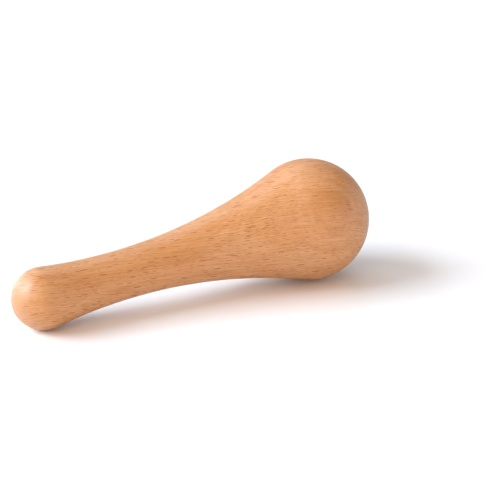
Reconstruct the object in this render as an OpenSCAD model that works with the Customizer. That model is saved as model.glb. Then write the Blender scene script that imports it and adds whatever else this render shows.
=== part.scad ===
// Muddler: one piece of beech, turned between centres and sanded smooth.
// A ball-shaped head crushes fruit and herbs in a glass. One long hollow curve
// thins the head to a waist and flares it again to a rounded grip end.
//
// Lengths are millimetres. +Z is up. The muddler lies at rest on its head and
// its grip end, with the head towards +X. The origin is on the surface it lies
// on, under the middle of its bounding box.

/* [Head] */
// Diameter of the ball that does the crushing
head_d = 56; // [50:1:62]

/* [Handle] */
// Diameter of the ball that rounds off the grip end
end_d = 27.5; // [25:0.5:30]
// Radius of the hollow curve that runs from the head to the grip end
flank_r = 240; // [215:5:265]

/* [Overall] */
// Length from the crown of the head to the tip of the grip end
overall_length = 172; // [162:1:182]
// Colour of the oiled wood
wood_colour = "#d99a66"; // [#d99a66, #c98a5a, #e6b88a]

/* [Hidden] */
$fn = 180;

head_r = head_d / 2;
end_r = end_d / 2;

// Distance between the two ball centres, along the turning axis
core = overall_length - head_r - end_r;

// The flank circle touches both balls from outside. These are the distances of
// its centre from the two ball centres, and its place beside the turning axis.
// It is cut a hair deeper than touching, so rounding never leaves a gap there.
flank_bite = 0.001;
head_reach = head_r + flank_r;
end_reach = end_r + flank_r;
flank_along = (core^2 + head_reach^2 - end_reach^2) / (2 * core);
flank_out = sqrt(head_reach^2 - flank_along^2);
waist_d = 2 * (flank_out - flank_r);
assert(waist_d > 0.5 * end_d, "the waist is too thin: use a larger flank_r or a shorter overall_length");
assert(flank_along > 0 && flank_along < core, "the waist is past the end of the handle");

// At rest the two balls stand on one plane, so the turning axis dips towards
// the smaller one.
dip = asin((head_r - end_r) / core);
footprint = core * cos(dip) + head_r + end_r;
head_x = footprint / 2 - head_r;

// Half of the turned outline: X is the radius, and Y runs along the axis from
// the head's centre to the grip end.
module half_outline() {
    intersection() {
        union() {
            circle(r = head_r);
            translate([0, core]) circle(r = end_r);
            // The triangle's two slanted sides cross each pair of circles
            // where they touch, so the outline has no corner there.
            difference() {
                polygon([[0, 0], [flank_out, flank_along], [0, core]]);
                translate([flank_out, flank_along]) circle(r = flank_r + flank_bite);
            }
        }
        translate([0, -head_r]) square([head_r, overall_length]);
    }
}

// The turned body on its axis: the head's centre at the origin, the grip end
// up along +Z
module turned_body() {
    rotate_extrude() half_outline();
}

module muddler() {
    color(wood_colour)
        translate([head_x, 0, head_r])
            rotate([0, -90 - dip, 0])
                turned_body();
}

muddler();
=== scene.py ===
"""The beech muddler's visual model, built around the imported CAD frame. Metres, +Z up."""

import math

import bpy
import numpy as np
from mathutils import Matrix, Vector, noise


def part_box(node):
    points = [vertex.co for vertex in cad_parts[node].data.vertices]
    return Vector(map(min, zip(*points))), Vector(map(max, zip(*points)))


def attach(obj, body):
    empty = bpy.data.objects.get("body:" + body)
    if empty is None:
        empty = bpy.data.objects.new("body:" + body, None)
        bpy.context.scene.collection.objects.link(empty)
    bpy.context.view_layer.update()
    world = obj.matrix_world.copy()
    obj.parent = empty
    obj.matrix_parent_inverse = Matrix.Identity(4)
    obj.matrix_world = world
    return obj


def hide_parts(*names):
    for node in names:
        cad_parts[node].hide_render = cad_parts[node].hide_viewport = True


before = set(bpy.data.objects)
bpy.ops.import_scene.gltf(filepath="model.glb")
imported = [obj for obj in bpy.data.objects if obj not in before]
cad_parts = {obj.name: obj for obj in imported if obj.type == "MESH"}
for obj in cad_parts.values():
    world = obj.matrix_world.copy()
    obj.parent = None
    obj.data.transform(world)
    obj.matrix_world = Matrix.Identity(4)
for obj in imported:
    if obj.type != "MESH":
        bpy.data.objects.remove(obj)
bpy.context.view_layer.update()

MM = 0.001

# ---------------------------------------------------------------- the turned outline, from the frame
END_R = 13.75 * MM      # the ball that rounds the grip end
FLANK_R = 240 * MM      # the hollow curve between the balls

low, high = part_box("muddler")
HEAD_R = (high.z - low.z) / 2
RUN = (high.x - low.x) - HEAD_R - END_R
RISE = HEAD_R - END_R
CORE = math.hypot(RUN, RISE)      # from the head ball's centre to the end ball's
HEAD_CENTRE = Vector((high.x - HEAD_R, 0, HEAD_R))
TO_GRIP = Vector((-RUN, 0, -RISE)) / CORE

# ---------------------------------------------------------------- how the wood lay in the tree
ALONG_FIBRES = Vector((0.995, -0.095, -0.035)).normalized()
OUT_OF_PITH = Vector((0.071, 0.900, -0.430))
OUT_OF_PITH = (OUT_OF_PITH - OUT_OF_PITH.dot(ALONG_FIBRES) * ALONG_FIBRES).normalized()
ROUND_PITH = ALONG_FIBRES.cross(OUT_OF_PITH)

# ---------------------------------------------------------------- camera
VIEW_AZIMUTH = 27.07      # the camera's heading, in degrees from +Y towards +X
VIEW_DOWN = 21.58         # degrees below the horizontal
VIEW_DISTANCE = 767.7 * MM
AIM = Vector((48.4, 40.7, 0)) * MM
LENS_MM = 113.95
SENSOR_MM = 36


def make_camera():
    """Stands where the photographer stood: to the grip's side of the muddler and a little above it."""
    azimuth = math.radians(VIEW_AZIMUTH)
    down = math.radians(VIEW_DOWN)
    level = math.cos(down)
    forward = Vector((math.sin(azimuth) * level, math.cos(azimuth) * level, -math.sin(down)))
    data = bpy.data.cameras.new("camera")
    data.sensor_width = SENSOR_MM
    data.lens = LENS_MM
    camera = bpy.data.objects.new("camera", data)
    camera.location = AIM - forward * VIEW_DISTANCE
    camera.rotation_mode = "QUATERNION"
    camera.rotation_quaternion = forward.to_track_quat("-Z", "Y")
    bpy.context.collection.objects.link(camera)
    bpy.context.scene.camera = camera


# ---------------------------------------------------------------- the body's mesh
RING_STEP = 0.8 * MM        # between rings of points, along the outline
AROUND = 240                # points to a ring
SANDED_OFF = 0.05 * MM      # at most, in patches about SANDING_WAVE across
SANDING_WAVE = 14 * MM
SHRUNK_BY = 0.04 * MM       # at most, across the rays, as beech shrinks in drying


def arc(centre, radius, start, stop):
    """Points on an arc, each (along the axis, out from it), about RING_STEP apart, the first left out."""
    count = max(2, round(abs(stop - start) * radius / RING_STEP))
    angles = np.linspace(start, stop, count + 1)[1:]
    return np.column_stack((centre[0] + radius * np.cos(angles), centre[1] + radius * np.sin(angles)))


def outline():
    """Head ball, hollow flank and grip-end ball, each tangent to the next, without the points on the axis."""
    head_reach = HEAD_R + FLANK_R
    end_reach = END_R + FLANK_R
    along = (CORE**2 + head_reach**2 - end_reach**2) / (2 * CORE)
    out = math.sqrt(head_reach**2 - along**2)
    head_touch = math.atan2(out, along)
    end_touch = math.atan2(out, along - CORE)
    head = arc((0, 0), HEAD_R, math.pi, head_touch)
    flank = arc((along, out), FLANK_R, head_touch - math.pi, end_touch - math.pi)
    end = arc((CORE, 0), END_R, end_touch, 0)
    return np.vstack((head, flank, end[:-1]))


def worn_inwards(point, outward):
    """The point as hand sanding and drying left it: a hair inside the turned surface, never outside it."""
    sanded = SANDED_OFF * (0.5 + 0.5 * noise.noise(point / SANDING_WAVE))
    shrunk = SHRUNK_BY * outward.dot(ROUND_PITH) ** 2
    return point - (sanded + shrunk) * outward


def body_mesh():
    """The outline turned about the axis, with a single point at each pole."""
    centre, axis = np.array(HEAD_CENTRE), np.array(TO_GRIP)
    side = np.array((0.0, 1.0, 0.0))
    up = np.cross(side, axis)
    profile = outline()
    turn = np.linspace(0, 2 * math.pi, AROUND, endpoint=False)
    ring = np.outer(np.cos(turn), side) + np.outer(np.sin(turn), up)
    points = [Vector(centre - HEAD_R * axis)]
    for along, out in profile:
        for spoke in ring:
            points.append(worn_inwards(Vector(centre + along * axis + out * spoke), Vector(spoke)))
    points.append(Vector(centre + (CORE + END_R) * axis))
    rings = len(profile)
    faces = []
    for k in range(AROUND):
        after = (k + 1) % AROUND
        faces.append((0, 1 + k, 1 + after))
        for ring_number in range(rings - 1):
            a = 1 + ring_number * AROUND
            b = a + AROUND
            faces.append((a + k, b + k, b + after, a + after))
        last = 1 + (rings - 1) * AROUND
        faces.append((last + k, len(points) - 1, last + after))
    mesh = bpy.data.meshes.new("muddler_body")
    mesh.from_pydata(points, [], faces)
    mesh.validate()
    mesh.shade_smooth()
    return mesh


# ---------------------------------------------------------------- building materials from nodes
def add(tree, kind, inputs=None, **settings):
    """Adds a node. An input is a value or another node's output, keyed by its name or number."""
    node = tree.nodes.new(kind)
    for name, value in settings.items():
        setattr(node, name, value)
    for key, value in (inputs or {}).items():
        if isinstance(value, bpy.types.NodeSocket):
            tree.links.new(value, node.inputs[key])
        else:
            node.inputs[key].default_value = value
    return node


def maths(tree, operation, a, b=0.0):
    """One arithmetic step on values or outputs."""
    return add(tree, "ShaderNodeMath", {0: a, 1: b}, operation=operation).outputs[0]


def remap(tree, value, from_low, from_high, to_low, to_high, smooth=False):
    """Moves a value from one range to another and holds it inside the second."""
    inputs = {"Value": value, "From Min": from_low, "From Max": from_high,
              "To Min": to_low, "To Max": to_high}
    interpolation = "SMOOTHSTEP" if smooth else "LINEAR"
    return add(tree, "ShaderNodeMapRange", inputs, interpolation_type=interpolation).outputs[0]


def blend_colours(tree, amount, first, second, how="MIX"):
    """Sockets 6 and 7 of a Mix node are its colours, and output 2 is the blended one."""
    inputs = {0: amount, 6: first, 7: second}
    return add(tree, "ShaderNodeMix", inputs, data_type="RGBA", blend_type=how).outputs[2]


def stretched(tree, grain, size, moved=(0, 0, 0)):
    """Grain coordinates divided by a size in millimetres along the fibres, out of the pith and round it, then
    moved, so that two patterns of one kind don't repeat each other."""
    inputs = {"Vector": grain, "Location": moved, "Scale": tuple(1 / length for length in size)}
    return add(tree, "ShaderNodeMapping", inputs).outputs["Vector"]


def noise_3d(tree, vector, detail, roughness=0.5):
    """Soft noise, about one blob to a unit. Most of it lies between 0.25 and 0.75."""
    inputs = {"Vector": vector, "Scale": 1.0, "Detail": detail, "Roughness": roughness}
    return add(tree, "ShaderNodeTexNoise", inputs, noise_dimensions="3D").outputs["Fac"]


# ---------------------------------------------------------------- beech
BEECH = (0.468, 0.209, 0.068, 1)
BEECH_PINK = (0.488, 0.236, 0.096, 1)
BEECH_LATE = (0.420, 0.165, 0.047, 1)
PALE_LIP = (0.585, 0.290, 0.138, 1)
RAY_BROWN = (0.185, 0.024, 0.001, 1)
# Partly real and partly painted sheen: duller end grain, made paler and bluer than the beech to paint the
# sheen on the ends.
END_GRAIN_AND_SHEEN = (0.410, 0.205, 0.100, 1)

# Sizes and spacings are millimetres along the fibres, out of the pith and round it.
WANDER_SIZE = (38, 22, 22)
WANDER_BY = (0.0, 3.0, 3.0)       # from one extreme to the other
MOTTLE_SIZE = (26, 11, 11)
RING_SIZE = (160, 2.6, 60)
VESSEL_SIZE = (16, 5.0, 0.42)
LAYER_SIZE = (26, 0.8, 9.0)
LARGE_RAY_SPACING = (7.6, 24, 0.78)
LARGE_RAY = (2.1, 16, 0.16)
SMALL_RAY_SPACING = (4.2, 14, 0.50)
SMALL_RAY = (1.2, 9, 0.12)

RAY_SIZES = (0.55, 1.15)          # of the sizes above, smallest and largest
RAY_STRENGTHS = (0.05, 0.9)       # faintest and darkest
RAY_RARITY = 1.6                  # above 1, faint rays outnumber dark ones
RAY_CORE = 0.65                   # of a ray's size: full strength inside this, none outside the ray
LIP_REACH = 2.6                   # of a ray's size
SMALL_RAY_SHARE = 0.85            # of the large rays' strength
SMALL_LIP_SHARE = 0.6
LIP_SHARE = 0.35                  # of PALE_LIP at most
LATE_SHARE = 0.5                  # of BEECH_LATE at most
END_GRAIN_AND_SHEEN_SHARE = 0.8             # of the end grain colour with its painted sheen, where the fibres meet the surface square on
END_GRAIN_AND_SHEEN_POWER = 2.5

VESSEL_CONTRAST = (0.84, 1.16)
LAYER_CONTRAST = (0.96, 1.04)
GREEN_POWER = 1.3                 # above 1, so a darker streak is also a browner one
BLUE_POWER = 2.2

ROUGHNESS = (0.50, 0.43)          # in dark streaks and in pale ones
SPECULAR = (0.62, 0.12)           # between the rays and in them
RELIEF = 0.02 * MM                # the rays lie lower, and so do the dark streaks
RELIEF_STRENGTH = 0.25


def grain_coordinates(tree):
    """Millimetres along the fibres, out of the pith and round it, wandering a little as fibres do."""
    turn = Matrix((ALONG_FIBRES, OUT_OF_PITH, ROUND_PITH)).to_euler()
    place = add(tree, "ShaderNodeTexCoord").outputs["Object"]
    straight = add(tree, "ShaderNodeMapping",
                   {"Vector": place, "Rotation": turn, "Scale": (1000, 1000, 1000)}).outputs["Vector"]
    slow = stretched(tree, straight, WANDER_SIZE)
    wander = add(tree, "ShaderNodeTexNoise", {"Vector": slow, "Scale": 1.0, "Detail": 1.0}).outputs["Color"]
    half = (0.5, 0.5, 0.5)
    centred = add(tree, "ShaderNodeVectorMath", {0: wander, 1: half}, operation="SUBTRACT").outputs[0]
    sideways = add(tree, "ShaderNodeVectorMath", {0: centred, 1: WANDER_BY}, operation="MULTIPLY").outputs[0]
    return add(tree, "ShaderNodeVectorMath", {0: straight, 1: sideways}, operation="ADD").outputs[0]


def ray_flecks(tree, grain, spacing, ray, moved):
    """Spindle-shaped rays, one to a cell. Gives how strongly a point is in a ray, and in its pale lip."""
    place = stretched(tree, grain, spacing, moved)
    cells = add(tree, "ShaderNodeTexVoronoi", {"Vector": place, "Scale": 1.0, "Randomness": 1.0},
                voronoi_dimensions="3D", feature="F1")
    offset = add(tree, "ShaderNodeVectorMath", {0: place, 1: cells.outputs["Position"]}, operation="SUBTRACT")
    in_rays = add(tree, "ShaderNodeVectorMath",
                  {0: offset.outputs[0], 1: tuple(gap / radius for gap, radius in zip(spacing, ray))},
                  operation="MULTIPLY")
    distance = add(tree, "ShaderNodeVectorMath", {0: in_rays.outputs[0]}, operation="LENGTH").outputs["Value"]
    chance = add(tree, "ShaderNodeSeparateColor", {"Color": cells.outputs["Color"]})
    size = remap(tree, chance.outputs["Red"], 0, 1, *RAY_SIZES)
    distance = maths(tree, "DIVIDE", distance, size)
    strength = remap(tree, maths(tree, "POWER", chance.outputs["Green"], RAY_RARITY), 0, 1, *RAY_STRENGTHS)
    core = maths(tree, "MULTIPLY", remap(tree, distance, RAY_CORE, 1.0, 1, 0, smooth=True), strength)
    lip = maths(tree, "MULTIPLY", remap(tree, distance, 1.0, LIP_REACH, 1, 0, smooth=True), strength)
    return core, lip


def make_beech():
    """Oiled beech as a solid: mottling, growth rings, fine vessels, ray flecks, and duller end grain tinted
    paler and bluer as a painted sheen.
    """
    material = bpy.data.materials.new("beech")
    material.use_nodes = True
    tree = material.node_tree
    shader = tree.nodes["Principled BSDF"]
    grain = grain_coordinates(tree)

    mottle = noise_3d(tree, stretched(tree, grain, MOTTLE_SIZE, (3.1, 7.7, 1.3)), detail=2.0)
    colour = blend_colours(tree, remap(tree, mottle, 0.36, 0.64, 0, 1, smooth=True), BEECH, BEECH_PINK)

    rings = noise_3d(tree, stretched(tree, grain, RING_SIZE, (0.4, 2.2, 5.9)), detail=1.5, roughness=0.6)
    late = remap(tree, rings, 0.44, 0.72, 0, LATE_SHARE, smooth=True)
    colour = blend_colours(tree, late, colour, BEECH_LATE)

    vessels = noise_3d(tree, stretched(tree, grain, VESSEL_SIZE), detail=1.5, roughness=0.6)
    layers = noise_3d(tree, stretched(tree, grain, LAYER_SIZE, (4.4, 1.9, 7.2)), detail=1.0)
    streak = maths(tree, "MULTIPLY", remap(tree, vessels, 0.25, 0.75, *VESSEL_CONTRAST),
                   remap(tree, layers, 0.25, 0.75, *LAYER_CONTRAST))
    tint = add(tree, "ShaderNodeCombineColor", {
        "Red": streak,
        "Green": maths(tree, "POWER", streak, GREEN_POWER),
        "Blue": maths(tree, "POWER", streak, BLUE_POWER),
    }).outputs["Color"]
    colour = blend_colours(tree, 1.0, colour, tint, how="MULTIPLY")

    large, large_lip = ray_flecks(tree, grain, LARGE_RAY_SPACING, LARGE_RAY, (0.2, 0.7, 0.4))
    small, small_lip = ray_flecks(tree, grain, SMALL_RAY_SPACING, SMALL_RAY, (8.3, 2.9, 6.1))
    lip = maths(tree, "MAXIMUM", large_lip, maths(tree, "MULTIPLY", small_lip, SMALL_LIP_SHARE))
    ray = maths(tree, "MAXIMUM", large, maths(tree, "MULTIPLY", small, SMALL_RAY_SHARE))
    colour = blend_colours(tree, maths(tree, "MULTIPLY", lip, LIP_SHARE), colour, PALE_LIP)
    colour = blend_colours(tree, ray, colour, RAY_BROWN)

    # Where the fibres meet the surface square on, the colour turns to duller end grain with a painted pale,
    # bluish sheen.
    facing = add(tree, "ShaderNodeTexCoord").outputs["Normal"]
    dot = add(tree, "ShaderNodeVectorMath", {0: facing, 1: tuple(ALONG_FIBRES)}, operation="DOT_PRODUCT")
    end_grain_and_sheen = maths(tree, "POWER", maths(tree, "ABSOLUTE", dot.outputs["Value"]), END_GRAIN_AND_SHEEN_POWER)
    colour = blend_colours(tree, maths(tree, "MULTIPLY", end_grain_and_sheen, END_GRAIN_AND_SHEEN_SHARE), colour, END_GRAIN_AND_SHEEN)
    tree.links.new(colour, shader.inputs["Base Color"])

    tree.links.new(remap(tree, ray, 0, 1, *SPECULAR), shader.inputs["Specular IOR Level"])
    tree.links.new(remap(tree, vessels, 0.3, 0.7, *ROUGHNESS), shader.inputs["Roughness"])

    height = maths(tree, "SUBTRACT", vessels, ray)
    bump = add(tree, "ShaderNodeBump", {"Strength": RELIEF_STRENGTH, "Distance": RELIEF, "Height": height})
    tree.links.new(bump.outputs["Normal"], shader.inputs["Normal"])
    return material


# ---------------------------------------------------------------- floor
FLOOR_ACROSS = 40.0       # metres
FLOOR_WHITE = (0.88, 0.88, 0.88, 1)


def make_floor():
    """A plain white studio floor."""
    bpy.ops.mesh.primitive_plane_add(size=FLOOR_ACROSS)
    floor = bpy.context.object
    floor.name = "floor"
    material = bpy.data.materials.new("white_floor")
    material.use_nodes = True
    shader = material.node_tree.nodes["Principled BSDF"]
    shader.inputs["Base Color"].default_value = FLOOR_WHITE
    shader.inputs["Roughness"].default_value = 0.3
    shader.inputs["Specular IOR Level"].default_value = 1.0
    floor.data.materials.append(material)


# ---------------------------------------------------------------- studio light
LIGHT_DISTANCE = 5.0      # metres
SURROUND_LOW = 0.82       # brightness near the horizon
SURROUND_HIGH = 0.12      # and overhead


def soft_light(name, bearing, elevation, width, height, brightness, colour, shows_in_gloss=True):
    """A soft box. Bearing is in degrees to the right of the camera's heading, width and height are in degrees
    as seen from the muddler, and brightness is how bright it alone makes a white card that faces it. One that
    doesn't show in gloss lights the wood and the floor, and isn't reflected in either."""
    heading = math.radians(VIEW_AZIMUTH + bearing)
    rise = math.radians(elevation)
    towards = Vector((math.sin(heading) * math.cos(rise), math.cos(heading) * math.cos(rise), math.sin(rise)))
    data = bpy.data.lights.new(name, "AREA")
    data.shape = "RECTANGLE"
    data.size = 2 * LIGHT_DISTANCE * math.tan(math.radians(width / 2))
    data.size_y = 2 * LIGHT_DISTANCE * math.tan(math.radians(height / 2))
    data.energy = brightness * math.pi**2 * LIGHT_DISTANCE**2
    data.color = colour
    light = bpy.data.objects.new(name, data)
    light.location = towards * LIGHT_DISTANCE
    light.rotation_mode = "QUATERNION"
    light.rotation_quaternion = (-towards).to_track_quat("-Z", "Y")
    light.visible_glossy = shows_in_gloss
    bpy.context.collection.objects.link(light)


def light_studio():
    """A cool key from the left, three warm fills from the camera's side, three weak cool ones from the back
    and the right, and a surround that is pale near the horizon."""
    # name, bearing, elevation, width, height, brightness, colour
    soft_light("key", -98, 36, 42, 36, 1.76, (0.90, 1.0, 1.13))
    soft_light("front_left", -150, 30, 44, 34, 0.34, (1.0, 0.75, 0.55), shows_in_gloss=False)
    soft_light("front_high", 178, 54, 60, 36, 0.31, (1.0, 0.75, 0.60), shows_in_gloss=False)
    soft_light("front_low", 144, 8, 120, 14, 0.56, (1.0, 0.84, 0.62), shows_in_gloss=False)
    soft_light("back_left", -49, 10, 36, 20, 0.30, (0.93, 1.0, 1.14))
    soft_light("right", 94, 12, 70, 30, 0.24, (0.96, 1.0, 1.06))
    soft_light("back_high", -20, 48, 44, 30, 0.24, (0.9, 1.0, 1.12))
    world = bpy.data.worlds.new("surround")
    bpy.context.scene.world = world
    world.use_nodes = True
    tree = world.node_tree
    direction = add(tree, "ShaderNodeTexCoord").outputs["Generated"]
    height = add(tree, "ShaderNodeSeparateXYZ", {"Vector": direction}).outputs["Z"]
    background = tree.nodes["Background"]
    background.inputs["Color"].default_value = (1, 1, 1, 1)
    strength = remap(tree, height, 0.10, 0.45, SURROUND_LOW, SURROUND_HIGH, smooth=True)
    tree.links.new(strength, background.inputs["Strength"])


make_camera()
body = bpy.data.objects.new("muddler_body", body_mesh())
bpy.context.collection.objects.link(body)
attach(body, "root")
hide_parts("muddler")
body.data.materials.append(make_beech())
make_floor()
light_studio()
bpy.context.scene.view_settings.view_transform = "Standard"
